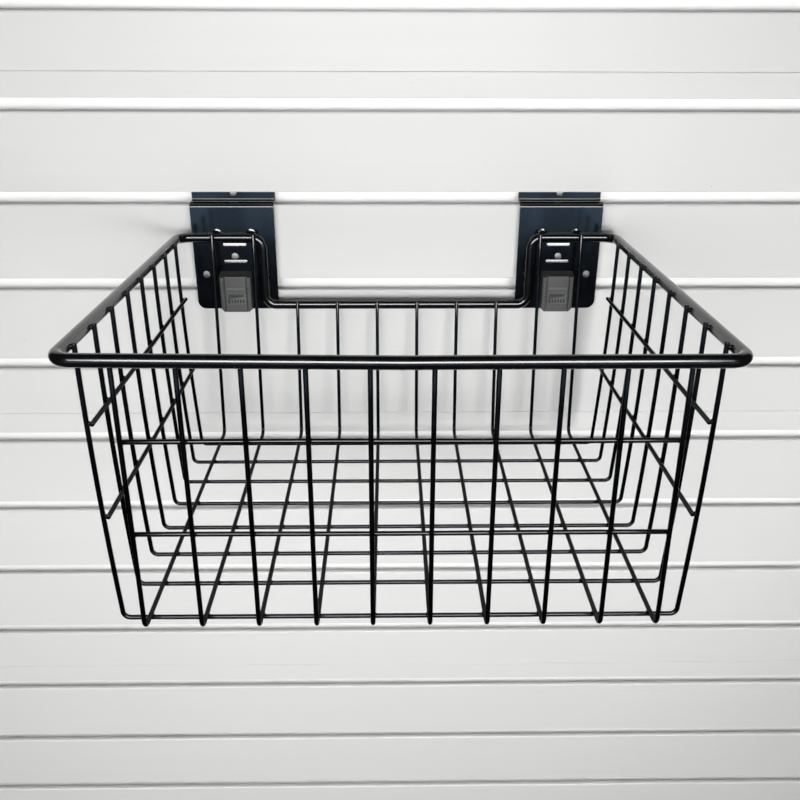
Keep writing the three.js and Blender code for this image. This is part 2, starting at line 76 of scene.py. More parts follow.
# Planks
PLANK_COUNT = 4
PLANK_HEIGHT = 304.8
FIRST_SLOT_DROP = 20.6
SLOTS_PER_PLANK = 4
SLOT_PITCH = 76.2
SLOT_OPENING = 10.5
LIP_THICKNESS = 4.5
CAVITY_BACK = 12.0
CAVITY_RISE = 8.0
CAVITY_DROP = 7.0
CAVITY_FILLET = 0.8
LIP_ROUNDING = {"upper_front": 1.0, "upper_back": 0.4, "lower_back": 1.0, "lower_front": 2.0}
EDGE_TONGUE_HALF = 2.5
EDGE_TONGUE_HEIGHT = 5.4
EDGE_GROOVE_HALF = 2.8
EDGE_GROOVE_DEPTH = 6.0
EDGE_CHAMFER = 0.7
SEAM_TAKE_UP = 0.2  # of the CAD's 0.3 mm fit gap; the planks butt together almost closed
BACK_GROOVE = {"depth": 0.6, "half_width": 2.0, "pitch": 25.4}
SCREW_HOLE_RADIUS = 2.4
SLOT_START = 0.3  # the whiter copy of the PVC, which is painted light, begins this far behind the face
SLOT_END = 0.7  # and ends this far in front of the back

# Screws
SCREW_HEAD_RADIUS = 4.2
SCREW_HEAD_HEIGHT = 2.6
SCREW_CORE_RADIUS = 1.45
SCREW_THREAD_RADIUS = 2.0
SCREW_THREAD_PITCH = 1.9
SCREW_TIP_LENGTH = 5.0
SCREW_SIDES = 32
SCREW_THREAD_START = 1.6
SCREW_THREAD_END = 1.4
SCREW_STEPS_PER_TURN = 14
SCREW_RECESS = ((0.4, 2.2, 0.5), (-1.7, 0.9, 0.25))  # rise over the head, half length, half width

# Basket
RIM_RADIUS = 4.0
RIM_BACK = 11.0
RIM_FRONT = 314.8
RIM_HALF_WIDTH = {"back": 189.2, "front": 187.8}
RIM_DROP = 37.0
RIM_FRONT_DROP = {"left": 34.8, "middle": 36.8, "right": 36.2}
DIP_HALF_WIDTH = 116.5
DIP_DROP = 97.0
RIM_BEND_RADIUS = {"front": 11.0, "back": 11.0, "dip_top": 10.0, "dip_foot": 9.0}
RIM_SIDES = 32
RIM_STEP = 0.04  # in metres, as WIRE_STEP: the longest straight step along a rod
BUTT_WELD = {-1.5: 0.97, -1.1: 1.005, -0.6: 1.015, 0.0: 1.01, 0.6: 1.015, 1.1: 1.005, 1.5: 0.97}
BUTT_WELD_UNEVENNESS = 0.004
WIRE_RADIUS = 1.5
WIRE_SIDES = 16
WIRE_STEP = 0.03
WIRE_BOW = 0.35
WIRE_PITCH = 35.3
LEG_BOW = 1.5  # cross wires' legs bow outwards this much half way down
LEG_BEND_SHARE = 0.9
LONG_BEND_RADIUS = 6.0
CROSS_BEND_RADIUS = 4.5
FRONT_TOP_BELOW_RIM = 1.8
WIRE_TIP_ROUNDING = 0.45
LONG_WIRE_COUNT = 10
CROSS_WIRE_COUNT = 8
FLOOR_DROP = 213.0
FLOOR_BACK = 33.5
FLOOR_FRONT = 312.7
FLOOR_HALF_WIDTH = 176.6
CROSS_WIRE_FRONT = 293.1
CROSS_WIRE_LEAN = 4.0
WIRE_TO_WIRE = 3.3
WIRE_TO_RIM = 5.8
LEG_TOP_DROP = RIM_DROP - RIM_RADIUS
CROSS_FLOOR_DROP = FLOOR_DROP + WIRE_TO_WIRE
FRONT_GIRTH_DROPS = {"upper": 87.5, "lower": 147.8}
SIDE_GIRTH_DROPS = {"upper": 81.8, "lower": 142.9}
FRONT_GIRTH_OVERHANG = 0.8
SIDE_GIRTH_OVERHANG = {"front": 1.5, "back": 2.5}
WELD_TO_RIM = 0.15
FRONT_WELD_FALL = 1.0
WELD_HALF_SIZES = {
    "floor": (1.75, 1.75, 0.95),
    "front_girth": (1.75, 0.95, 1.75),
    "side_girth": (0.9, 1.5, 1.5),
    "back_rim": (1.9, 0.9, 2.4),
    "front_rim": (1.9, 0.9, 2.0),
    "side_rim": (0.8, 1.5, 1.9),
}

# Brackets
BRACKET_X = 142.0
BRACKET_HALF_WIDTH = 36.0
SHEET = 2.0
PLATE_FACE = 6.7
PLATE_DROP = 102.0
PLATE_CORNER_RADIUS = 7.0
SHELF_DROP = 8.8
SHELF_FALL = 1.6
TONGUE_DEPTH = 7.3
TONGUE_RISE = 6.5
SHEET_BEND_RADII = [2, 3, 2.2]
HOLE_RADIUS = 3.0
MIDDLE_HOLE_DROP = 54.5
SIDE_HOLE = {"offset": 26.4, "drop": 70.5}
HALF_NOTCH = [(3.0, -8.0), (2.9, 2.0), (2.2, 3.4), (1.0, 3.8)]  # offset and drop
WINDOW = {"half_width": 6.6, "forward": (3.5, 9.0), "drop": (77.2, 87.0)}
CUT_THROUGH = (PLATE_FACE + 3, PLATE_FACE - 5)
SOFT_EDGE = {"plate": 0.3, "lock": 0.4, "grip": 0.22}
FLAT_AREA = 60.0  # square millimetres; larger faces of the plate shade quite flat
LOUVRE_DROPS = (44.0, 58.9)
LOUVRE_SIZES = (10.5, 1.25, 0.52)  # half length, half height, proud of the plate
LOUVRE_SECTION = [(-1.0, 0.0), (0.72, 0.94), (0.88, 1.0), (1.0, 0.85), (1.08, 0.0), (0.0, -1.5)]
LOUVRE_END = ((-1.0, 0.3), (-0.985, 0.6), (-0.94, 0.88), (-0.88, 1.0), (0.0, 1.0))
BRACKET_WELD_FORWARD = 8.3
RIM_WELD_X = (127.0, 156.4)
RIM_WELD = {"drop": 34.9, "half_sizes": (4.0, 2.3, 3.6)}
RIM_WELD_DOME = {"drop": 35.2, "half_sizes": (4.6, 0.45, 5.0)}
DIP_WELD = {"inset": 3.2, "drops": (60.0, 80.4), "half_sizes": (2.0, 1.6, 2.6)}
PIMPLE = {"offset": 21.0, "drops": (53.8, 74.2), "half_sizes": (1.1, 0.45, 1.1)}

# Locks
LOCK_HALF_WIDTH = 14.0
LOCK_TOP = 67.5
LOCK_SLOPE = 3.4
LOCK_BOTTOM = 102.5
LOCK_BACK = 7.0
LOCK_FRONT = 17.0
LOCK_CHAMFER = 3.2
LOCK_RIDGE = {"width": 4.0, "proud": 1.2}
LOCK_GROOVE = {"width": 0.9, "depth": 1.2}
LOCK_FRONT_BEVEL = {"depth": 1.6, "inset": 0.9}
LOCK_CUT_FORWARD = 20.0
LOCK_CUT_DROP = (60.0, 106.0)
NECK = {"half_width": 6.0, "height": 4.0, "forward": (-8.5, 8.0), "clearance": 0.3}
HOOK = {"forward": (-8.5, -5.0), "fall": 4.2}
GRIP_HALF_WIDTH = 8.2
GRIP_ROOT = 0.4
GRIP_BARS = ({"proud": 0.9, "drop": (80.0, 82.1)}, {"proud": 0.6, "drop": (84.7, 95.3)})
GRIP_CUT_FORWARD = (0.1, 18.0)
GRIP_GROOVE = {"half_width": 6.0, "drop": (87.0, 88.2)}
GRIP_RIBS = {"count": 6, "pitch": 2.5, "half_width": 0.7, "drop": (90.9, 94.2)}

# Studio, with sizes in metres
SURROUNDINGS_STRENGTH = 0.03
BACKDROP_STRENGTH = 0.75
FLOOR_SIZE = 6.0
FLOOR_GAP = 0.0005
FLOOR_GLOW = 0.6
DUSK_BLUE = (0.42, 0.68, 1.0)


def from_hook(x, forward, drop):
    """The point in metres at X, forward of the panel's face and below the hook slot."""
    return Vector((x, FACE_Y - forward, -drop)) * MM


# -------- materials


class Nodes:
    """A short way to write a material's node tree."""

    def __init__(self, name):
        self.material = bpy.data.materials.new(name)
        self.material.use_nodes = True
        self.tree = self.material.node_tree
        self.tree.nodes.clear()
        self.output = self.add("ShaderNodeOutputMaterial")
        self.shader = self.add("ShaderNodeBsdfPrincipled")
        self.link(self.shader.outputs["BSDF"], self.output.inputs["Surface"])
        self.place = self.add("ShaderNodeTexCoord").outputs["Object"]

    def add(self, kind, **values):
        node = self.tree.nodes.new(kind)
        for key, value in values.items():
            setattr(node, key, value)
        return node

    def link(self, source, target):
        self.tree.links.new(source, target)

    def stretched(self, scale):
        """Object coordinates scaled along each axis, so that noise can run in streaks."""
        mapping = self.add("ShaderNodeMapping")
        mapping.inputs["Scale"].default_value = scale
        self.link(self.place, mapping.inputs["Vector"])
        return mapping.outputs["Vector"]

    def noise(self, scale, detail=3.0, roughness=0.5, vector=None):
        node = self.add("ShaderNodeTexNoise")
        node.inputs["Scale"].default_value = scale
        node.inputs["Detail"].default_value = detail
        node.inputs["Roughness"].default_value = roughness
        self.link(vector or self.place, node.inputs["Vector"])
        return node.outputs["Fac"]

    def cells(self, scale):
        """Distance to the nearest of many scattered points."""
        node = self.add("ShaderNodeTexVoronoi")
        node.inputs["Scale"].default_value = scale
        self.link(self.place, node.inputs["Vector"])
        return node.outputs["Distance"]

    def spread(self, source, low, high, to_low, to_high):
        """Maps the range low..high of a value onto another range, clamped."""
        node = self.add("ShaderNodeMapRange")
        names = ("From Min", "From Max", "To Min", "To Max")
        for key, value in zip(names, (low, high, to_low, to_high)):
            node.inputs[key].default_value = value
        self.link(source, node.inputs["Value"])
        return node.outputs["Result"]

    def mix(self, factor, first, second):
        """A colour between two, each a colour or a socket."""
        node = self.add("ShaderNodeMix", data_type="RGBA")
        colours = [s for s in node.inputs if s.type == "RGBA"]
        for value, socket in ((first, colours[0]), (second, colours[1])):
            if isinstance(value, tuple):
                socket.default_value = (*value, 1.0)
            else:
                self.link(value, socket)
        self.link(factor, node.inputs["Factor"])
        return next(s for s in node.outputs if s.type == "RGBA")

    def tones(self, source, first, second, low=0.35, high=0.65):
        """A colour that goes from one to another as the source goes from low to high."""
        return self.mix(self.spread(source, low, high, 0.0, 1.0), first, second)

    def bump(self, height, distance, strength, normal=None):
        node = self.add("ShaderNodeBump")
        node.inputs["Distance"].default_value = distance
        node.inputs["Strength"].default_value = strength
        self.link(height, node.inputs["Height"])
        if normal is not None:
            self.link(normal, node.inputs["Normal"])
        return node.outputs["Normal"]

    def set(self, name, value):
        socket = self.shader.inputs[name]
        if isinstance(value, (int, float)):
            socket.default_value = value
        elif isinstance(value, tuple):
            socket.default_value = (*value, 1.0)
        else:
            self.link(value, socket)


def pvc_face():
    """Satin PVC: faint extrusion streaks along X, a slow change of tone and a few dark specks."""
    n = Nodes("white_pvc_face")
    streaks = n.noise(1.0, 4.0, 0.6, n.stretched((1.2, 900.0, 900.0)))
    tone = n.noise(2.2, 2.0)
    colour = n.tones(tone, (0.735, 0.733, 0.722), (0.765, 0.764, 0.757), 0.3, 0.7)
    colour = n.mix(n.spread(streaks, 0.35, 0.65, 0.0, 0.16), colour, (0.70, 0.70, 0.69))
    specks = n.spread(n.cells(26.0), 0.0, 0.02, 0.6, 0.0)
    colour = n.mix(specks, colour, (0.24, 0.22, 0.20))
    n.set("Base Color", colour)
    n.set("Roughness", n.spread(streaks, 0.3, 0.7, 0.42, 0.56))
    n.set("Specular IOR Level", 0.3)
    grain = n.noise(1400.0, 2.0, 0.6)
    normal = n.bump(streaks, 0.00005, 0.6)
    n.set("Normal", n.bump(grain, 0.00002, 0.5, normal))
    return n.material


def pvc_slot_painted_light():
    """The slots' insides, glossier than the satin face and painted whiter: painted light that stands
    for the brighter light in the slots.
    """
    n = Nodes("white_pvc_slot_painted_light")
    streaks = n.noise(1.0, 4.0, 0.6, n.stretched((1.5, 700.0, 700.0)))
    n.set("Base Color", n.tones(streaks, (0.90, 0.90, 0.89), (0.94, 0.94, 0.935)))
    n.set("Roughness", n.spread(streaks, 0.3, 0.7, 0.34, 0.46))
    n.set("Specular IOR Level", 0.35)
    n.set("Normal", n.bump(streaks, 0.00004, 0.5))
    return n.material


def pvc_core():
    """The sawn ends: fine-celled foamed PVC with faint saw lines."""
    n = Nodes("white_pvc_core")
    cells = n.cells(900.0)
    saw = n.noise(1.0, 2.0, 0.5, n.stretched((1.0, 60.0, 1500.0)))
    colour = n.tones(cells, (0.66, 0.655, 0.64), (0.78, 0.775, 0.76), 0.1, 0.6)
    n.set("Base Color", colour)
    n.set("Roughness", 0.75)
    normal = n.bump(cells, 0.0003, 0.6)
    n.set("Normal", n.bump(saw, 0.0002, 0.4, normal))
    return n.material


def powder_coat(name, colour, sheen_colour, roughness, coat):
    """Glossy powder coat: orange peel, settled dust and slightly duller patches."""
    n = Nodes(name)
    patches = n.noise(60.0, 3.0)
    base = n.tones(patches, colour, sheen_colour)
    dust = n.spread(n.cells(420.0), 0.0, 0.05, 0.05, 0.0)
    base = n.mix(dust, base, (0.30, 0.30, 0.30))
    n.set("Base Color", base)
    n.set("Roughness", n.spread(patches, 0.3, 0.7, roughness * 0.85, roughness * 1.25))
    n.set("Coat Weight", coat)
    n.set("Coat Roughness", roughness * 0.7)
    peel = n.noise(520.0, 2.0, 0.45)
    fine = n.noise(2400.0, 2.0, 0.5)
    normal = n.bump(peel, 0.00003, 0.35)
    n.set("Normal", n.bump(fine, 0.000006, 0.4, normal))
    return n


def wire_coat():
    """The wires' thinner coat, which mirrors little at grazing angles and so stays black."""
    n = powder_coat("black_wire_coat", (0.032, 0.032, 0.034), (0.038, 0.038, 0.040), 0.2, 0.0)
    n.set("Metallic", 1.0)
    n.set("Specular Tint", (0.4, 0.4, 0.4))
    return n.material


def lock_plastic():
    """Moulded nylon with fine spark-eroded grain, its sharp edges painted lighter (painted highlight)
    and its creases near black (painted shade).
    """
    n = Nodes("grey_lock_plastic")
    grain = n.noise(2600.0, 3.0, 0.6)
    patches = n.noise(140.0, 3.0)
    colour = n.tones(patches, (0.034, 0.034, 0.035), (0.043, 0.043, 0.043))
    edge = n.add("ShaderNodeNewGeometry").outputs["Pointiness"]
    # painted highlight: the sharp outer edges are painted a lighter grey
    colour = n.mix(n.spread(edge, 0.52, 0.58, 0.0, 0.6), colour, (0.17, 0.17, 0.17))
    # painted shade: the creases and grooves are painted near black
    colour = n.mix(n.spread(edge, 0.40, 0.47, 0.9, 0.0), colour, (0.006, 0.006, 0.006))
    n.set("Base Color", colour)
    n.set("Roughness", n.spread(patches, 0.3, 0.7, 0.36, 0.46))
    n.set("Normal", n.bump(grain, 0.00008, 0.5))
    return n.material


def zinc_plate():
    """Bright zinc plating with a slight patchy dullness and a trace of yellow."""
    n = Nodes("zinc_screw")
    patches = n.noise(500.0, 4.0)
    n.set("Base Color", n.tones(patches, (0.62, 0.63, 0.64), (0.70, 0.69, 0.64)))
    n.set("Metallic", 1.0)
    n.set("Roughness", n.spread(patches, 0.3, 0.7, 0.24, 0.42))
    n.set("Normal", n.bump(n.noise(3000.0), 0.00002, 0.5))
    return n.material


def pale_floor():
    """Pale painted floor with a faint mottle, kept pale away from the lights by a glow of its own."""
    n = Nodes("pale_floor")
    mottle = n.noise(3.0, 4.0)
    colour = n.tones(mottle, (0.60, 0.60, 0.59), (0.64, 0.64, 0.63), 0.3, 0.7)
    n.set("Base Color", colour)
    n.set("Emission Color", colour)
    n.set("Emission Strength", FLOOR_GLOW)
    n.set("Roughness", 0.7)
    n.set("Normal", n.bump(n.noise(400.0), 0.0001, 0.3))
    return n.material


PVC_FACE = pvc_face()
PVC_SLOT_PAINTED_LIGHT = pvc_slot_painted_light()
PVC_CORE = pvc_core()
BLACK = ((0.0009, 0.0009, 0.0011), (0.0014, 0.0014, 0.0018))
BLUISH_BLACK = ((0.0009, 0.0014, 0.0030), (0.0014, 0.0021, 0.0042))
ROD_COAT = powder_coat("black_rod_coat", *BLACK, 0.22, 0.4).material
WIRE_COAT = wire_coat()
SHEET_COAT = powder_coat("black_sheet_coat", *BLUISH_BLACK, 0.15, 0.5).material
LOCK_PLASTIC = lock_plastic()
ZINC = zinc_plate()

# -------- mesh helpers


def add_object(name, data):
    made = bpy.data.objects.new(name, data)
    bpy.context.scene.collection.objects.link(made)
    return made


def shade(mesh, smooth_angle):
    """Smooth shading except across edges sharper than the angle."""
    mesh.polygons.foreach_set("use_smooth", [True] * len(mesh.polygons))
    mesh.set_sharp_from_angle(angle=math.radians(smooth_angle))


def finish_mesh(name, bm, materials, smooth_angle=35.0):
    """An object from a bmesh."""
    bmesh.ops.recalc_face_normals(bm, faces=bm.faces)
    mesh = bpy.data.meshes.new(name)
    bm.to_mesh(mesh)
    bm.free()
    shade(mesh, smooth_angle)
    for material in materials:
        mesh.materials.append(material)
    return add_object(name, mesh)


def stand_for(piece, node, body):
    """The piece rides on the body and stands for the CAD node, which is hidden."""
    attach(piece, body)
    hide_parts(node)


def bake_modifiers(piece):
    """Replaces the piece's mesh with its evaluated one and drops the modifiers."""
    bpy.context.view_layer.update()
    graph = bpy.context.evaluated_depsgraph_get()
    baked = bpy.data.meshes.new_from_object(piece.evaluated_get(graph))
    piece.modifiers.clear()
    piece.data = baked


def cut(piece, cutters, operation="DIFFERENCE"):
    """Subtracts the cutters from the piece, or adds them to it, and removes them."""
    for cutter in cutters:
        modifier = piece.modifiers.new("cut", "BOOLEAN")
        modifier.operation = operation
        modifier.solver = "EXACT"
        modifier.object = cutter
    bake_modifiers(piece)
    shade(piece.data, 35.0)
    for cutter in cutters:
        bpy.data.objects.remove(cutter)


def soften_edges(piece, width, segments=2):
    """Rounds every sharp edge."""
    modifier = piece.modifiers.new("soften", "BEVEL")
    modifier.width = width * MM
    modifier.segments = segments
    modifier.limit_method = "ANGLE"
    modifier.angle_limit = math.radians(40.0)
    modifier.use_clamp_overlap = True
    bake_modifiers(piece)
    shade(piece.data, 50.0)


def even_normals(piece, large=None):
    """Weights the normals by area and sets those of large faces upright, so that flats shade flat."""
    modifier = piece.modifiers.new("even", "WEIGHTED_NORMAL")
    modifier.keep_sharp = True
    bake_modifiers(piece)
    mesh = piece.data
    if large is not None:
        normals = [Vector(corner.vector) for corner in mesh.corner_normals]
        for polygon in mesh.polygons:
            if polygon.area > large * MM * MM:
                for index in polygon.loop_indices:
                    normals[index] = polygon.normal.copy()
        mesh.normals_split_custom_set(normals)


def bent_path(corners, radii, steps=12):
    """Points of a rod through the corners, with a round bend at each inner corner."""
    points = [corners[0].copy()]
    for i in range(1, len(corners) - 1):
        before = (corners[i] - corners[i - 1]).normalized()
        after = (corners[i + 1] - corners[i]).normalized()
        turn = before.angle(after)
        inward = (after - before * before.dot(after)).normalized()
        radius = radii[i - 1] * MM
        start = corners[i] - before * radius * math.tan(turn / 2)
        for step in range(steps + 1):
            angle = turn * step / steps
            along = before * radius * math.sin(angle)
            points.append(start + along + inward * radius * (1 - math.cos(angle)))
    points.append(corners[-1].copy())
    return points


def split_long(points, longest):
    """Adds points so that no step is longer than that, which lets a rod follow a slight bow."""
    out = [points[0]]
    for a, b in zip(points, points[1:]):
        parts = max(1, math.ceil((b - a).length / longest))
        out += [a.lerp(b, (k + 1) / parts) for k in range(parts)]
    return out


def add_rings(bm, rings, closed=False):
    """Joins rings of vertices with quads, and caps the ends of an open run."""
    made = [[bm.verts.new(p) for p in ring] for ring in rings]
    count = len(made[0])
    pairs = list(zip(made, made[1:]))
    if closed:
        pairs.append((made[-1], made[0]))
    for a, b in pairs:
        for i in range(count):
            j = (i + 1) % count
            bm.faces.new((a[i], a[j], b[j], b[i]))
    if not closed:
        bm.faces.new(made[0])
        bm.faces.new(list(reversed(made[-1])))


def tangents(points, closed):
    """Unit direction of travel at each point."""
    found = []
    last = len(points) - 1
    for i, point in enumerate(points):
        direction = Vector((0, 0, 0))
        if i > 0 or closed:
            direction += (point - points[i - 1]).normalized()
        if i < last or closed:
            direction += (points[(i + 1) % len(points)] - point).normalized()
        found.append(direction.normalized())
    return found


def add_rod(bm, points, radius, sides, closed=False, tip=0.0, swell=None):
    """A round rod along the points. tip rounds its ends; swell(i) scales the radius at a point."""
    directions = tangents(points, closed)
    normal = directions[0].orthogonal().normalized()
    rings = []
    for i, (point, direction) in enumerate(zip(points, directions)):
        normal = (normal - direction * normal.dot(direction)).normalized()
        side = direction.cross(normal)
        stations = [(0.0, radius)]
        if tip and not closed and i in (0, len(points) - 1):
            rounding = [(1 - math.cos(a), math.sin(a)) for a in (0.0, 0.5, 1.0, math.pi / 2)]
            sign = 1 if i == 0 else -1
            stations = [(sign * tip * t, radius - tip + tip * s) for t, s in rounding]
            if sign < 0:
                stations.reverse()
        for along, r in stations:
            r *= MM * (swell(i) if swell else 1.0)
            centre = point + direction * along * MM
            ring = []
            for k in range(sides):
                angle = 2 * math.pi * k / sides
                ring.append(centre + (normal * math.cos(angle) + side * math.sin(angle)) * r)
            rings.append(ring)
    add_rings(bm, rings, closed)


def add_nugget(bm, centre, half_sizes, seed, lumps=0.12):
    """A small lump of weld metal under its coat: a slightly uneven ellipsoid."""
    found = bmesh.ops.create_icosphere(bm, subdivisions=2, radius=1.0)
    for vertex in found["verts"]:
        direction = vertex.co.normalized()
        bulge = 1.0 + lumps * noise.noise(direction * 1.7 + Vector((seed * 3.1, 0, 0)))
        offset = Vector([d * h * MM * bulge for d, h in zip(direction, half_sizes)])
        vertex.co = centre + offset


def prism_along_y(name, outline, front, back):
    """A prism of an outline of (X, drop) points between two forward distances."""
    bm = bmesh.new()
    near = [from_hook(x, front, drop) for x, drop in outline]
    far = [from_hook(x, back, drop) for x, drop in outline]
    add_rings(bm, [near, far])
    return finish_mesh(name, bm, [])


def block(name, x_range, forward_range, drop_range):
    """A box between two values of X, forward and drop."""
    (x0, x1), (d0, d1) = x_range, drop_range
    outline = [(x0, d0), (x1, d0), (x1, d1), (x0, d1)]
    return prism_along_y(name, outline, forward_range[1], forward_range[0])


def drill(x, drop, radius, forward_range):
    """A round cutter along Y."""
    angles = [2 * math.pi * (k + 0.5) / DRILL_SIDES for k in range(DRILL_SIDES)]
    outline = [(x + radius * math.cos(a), drop + radius * math.sin(a)) for a in angles]
    return prism_along_y("hole", outline, *forward_range)


# -------- panel


def arc(centre, radius, start, end, steps):
    """Points (Y, Z) along an arc, angles in degrees."""
    points = []
    for step in range(steps + 1):
        angle = math.radians(start + (end - start) * step / steps)
        points.append((centre[0] + radius * math.cos(angle), centre[1] + radius * math.sin(angle)))
    return points


def slot_profile(top):
    """One T-slot in (Y, Z), downwards: rounded upper lip, cavity with filleted corners, lower lip."""
    lip = FACE_Y + LIP_THICKNESS
    rear = FACE_Y + CAVITY_BACK
    bottom = top - SLOT_OPENING
    fillet = CAVITY_FILLET
    ceiling = top + CAVITY_RISE
    trough = bottom - CAVITY_DROP
    upper_front, upper_back = LIP_ROUNDING["upper_front"], LIP_ROUNDING["upper_back"]
    lower_front, lower_back = LIP_ROUNDING["lower_front"], LIP_ROUNDING["lower_back"]
    points = arc((FACE_Y + upper_front, top + upper_front), upper_front, 180, 270, 6)
    points += arc((lip - upper_back, top + upper_back), upper_back, 270, 360, 3)
    points += arc((lip + fillet, ceiling - fillet), fillet, 180, 90, 3)
    points += arc((rear - fillet, ceiling - fillet), fillet, 90, 0, 3)
    points += arc((rear - fillet, trough + fillet), fillet, 0, -90, 3)
    points += arc((lip + fillet, trough + fillet), fillet, 270, 180, 3)
    points += arc((lip - lower_back, bottom - lower_back), lower_back, 0, 90, 5)
    points += arc((FACE_Y + lower_front, bottom - lower_front), lower_front, 90, 180, 8)
    return points


def plank_profile(top, bottom):
    """A plank's section in (Y, Z), once round, with shallow keying grooves in its back."""
    middle = FACE_Y / 2
    points = [(FACE_Y + EDGE_CHAMFER * 0.3, top - EDGE_CHAMFER * 0.3), (FACE_Y, top - EDGE_CHAMFER)]
    for slot in range(SLOTS_PER_PLANK):
        points += slot_profile(top - FIRST_SLOT_DROP - slot * SLOT_PITCH)
    points += [
        (FACE_Y, bottom + EDGE_CHAMFER),
        (FACE_Y + EDGE_CHAMFER * 0.3, bottom + EDGE_CHAMFER * 0.3),
        (FACE_Y + EDGE_CHAMFER, bottom),
        (middle - EDGE_GROOVE_HALF, bottom),
        (middle - EDGE_GROOVE_HALF, bottom + EDGE_GROOVE_DEPTH),
        (middle + EDGE_GROOVE_HALF, bottom + EDGE_GROOVE_DEPTH),
        (middle + EDGE_GROOVE_HALF, bottom),
        (0.0, bottom),
    ]
    grooves = int(PLANK_HEIGHT / BACK_GROOVE["pitch"])
    for i in range(grooves):
        z = bottom + (i + 0.5) * BACK_GROOVE["pitch"]
        half, depth = BACK_GROOVE["half_width"], BACK_GROOVE["depth"]
        points += [(0.0, z - half), (-depth, z - half + depth)]
        points += [(-depth, z + half - depth), (0.0, z + half)]
    points += [
        (0.0, top),
        (middle + EDGE_TONGUE_HALF, top),
        *arc((middle + EDGE_TONGUE_HALF - 1, top + EDGE_TONGUE_HEIGHT - 1), 1.0, 0, 90, 4),
        *arc((middle - EDGE_TONGUE_HALF + 1, top + EDGE_TONGUE_HEIGHT - 1), 1.0, 90, 180, 4),
        (middle - EDGE_TONGUE_HALF, top),
        (FACE_Y + EDGE_CHAMFER, top),
    ]
    return points


def paint_plank(piece):
    """Gives the sawn ends their own material, and the slots' insides a whiter copy of the PVC, which is
    painted light.
    """
    for polygon in piece.data.polygons:
        centre = polygon.center / MM
        if abs(polygon.normal.x) > 0.9:
            polygon.material_index = 2
        # painted light: faces between the face skin and the back take the whiter PVC, so the slots'
        # insides are painted bright and the edge chamfers' inner facets paint a bright line along each
        # seam
        elif FACE_Y + SLOT_START < centre.y < -SLOT_END and abs(polygon.normal.x) < 0.1:
            polygon.material_index = 1
        else:
            polygon.material_index = 0


def build_plank(number, screw_places):
    node = f"slat_plank_{number}"
    low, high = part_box(node)
    top = high.z / MM - EDGE_TONGUE_HEIGHT
    bottom = low.z / MM
    if number < PLANK_COUNT:
        bottom -= SEAM_TAKE_UP
    bm = bmesh.new()
    profile = plank_profile(top, bottom)
    rings = [[Vector((x, y * MM, z * MM)) for y, z in profile] for x in (low.x, high.x)]
    add_rings(bm, rings)
    piece = finish_mesh(f"plank_{number}", bm, [PVC_FACE, PVC_SLOT_PAINTED_LIGHT, PVC_CORE])
    cutters = []
    for x, drop in screw_places:
        if abs(drop + top - PLANK_HEIGHT / 2) < PLANK_HEIGHT / 2:
            cutters.append(drill(x, drop, SCREW_HOLE_RADIUS, (-CAVITY_BACK + 1, -17.0)))
    cut(piece, cutters)
    paint_plank(piece)
    even_normals(piece)
    stand_for(piece, node, "panel")


def build_screw_mesh(reach):
    """A pan head wood screw along +Y, its head's underside at the origin."""
    bm = bmesh.new()
    head = [(0.35, -SCREW_HEAD_HEIGHT)]
    for step in range(7):
        angle = math.pi / 2 * step / 6
        radius = SCREW_HEAD_RADIUS * (0.55 + 0.45 * math.sin(angle))
        head.append((radius, -SCREW_HEAD_HEIGHT * (0.35 + 0.65 * math.cos(angle))))
    head += [(SCREW_HEAD_RADIUS, -0.25), (SCREW_HEAD_RADIUS - 0.25, 0.0), (SCREW_CORE_RADIUS, 0.0)]
    head += [(SCREW_CORE_RADIUS, reach - SCREW_TIP_LENGTH), (0.12, reach)]
    rings = []
    for radius, y in head:
        angles = [2 * math.pi * k / SCREW_SIDES for k in range(SCREW_SIDES)]
        rings.append([Vector((radius * math.cos(a), y, radius * math.sin(a))) * MM for a in angles])
    add_rings(bm, rings)
    head_piece = finish_mesh("screw_body", bm, [ZINC])

    cross = []
    for turn in (0.0, math.pi / 2):
        bm = bmesh.new()
        rings = []
        for rise, length, width in SCREW_RECESS:
            corners = [(-length, -width), (length, -width), (length, width), (-length, width)]
            y = -SCREW_HEAD_HEIGHT - rise
            rings.append([Vector((x, y, z)) * MM for x, z in corners])
        add_rings(bm, rings)
        cutter = finish_mesh("recess", bm, [])
        cutter.data.transform(Matrix.Rotation(turn, 4, "Y"))
        cross.append(cutter)
    cut(head_piece, cross)

    thread = bmesh.new()
    thread.from_mesh(head_piece.data)
    thread_length = reach - SCREW_THREAD_START - SCREW_THREAD_END
    turns = thread_length / SCREW_THREAD_PITCH
    steps = int(turns * SCREW_STEPS_PER_TURN)
    rings = []
    for step in range(steps + 1):
        angle = 2 * math.pi * turns * step / steps
        y = SCREW_THREAD_START + thread_length * step / steps
        left = max(0.05, min(1.0, (reach - y) / SCREW_TIP_LENGTH, step / 10 + 0.05))
        core = (SCREW_CORE_RADIUS - 0.1) * min(1.0, (reach - y) / SCREW_TIP_LENGTH + 0.08)
        crest = core + (SCREW_THREAD_RADIUS - SCREW_CORE_RADIUS + 0.1) * left
        outward = Vector((math.cos(angle), 0, math.sin(angle)))
        section = [(core, -0.42), (crest, -0.06), (crest, 0.06), (core, 0.42)]
        rings.append([(outward * r + Vector((0, y + dy, 0))) * MM for r, dy in section])
    add_rings(thread, rings)
    bmesh.ops.recalc_face_normals(thread, faces=thread.faces)
    mesh = head_piece.data
    thread.to_mesh(mesh)
    thread.free()
    shade(mesh, 40.0)
    bpy.data.objects.remove(head_piece)
    return mesh


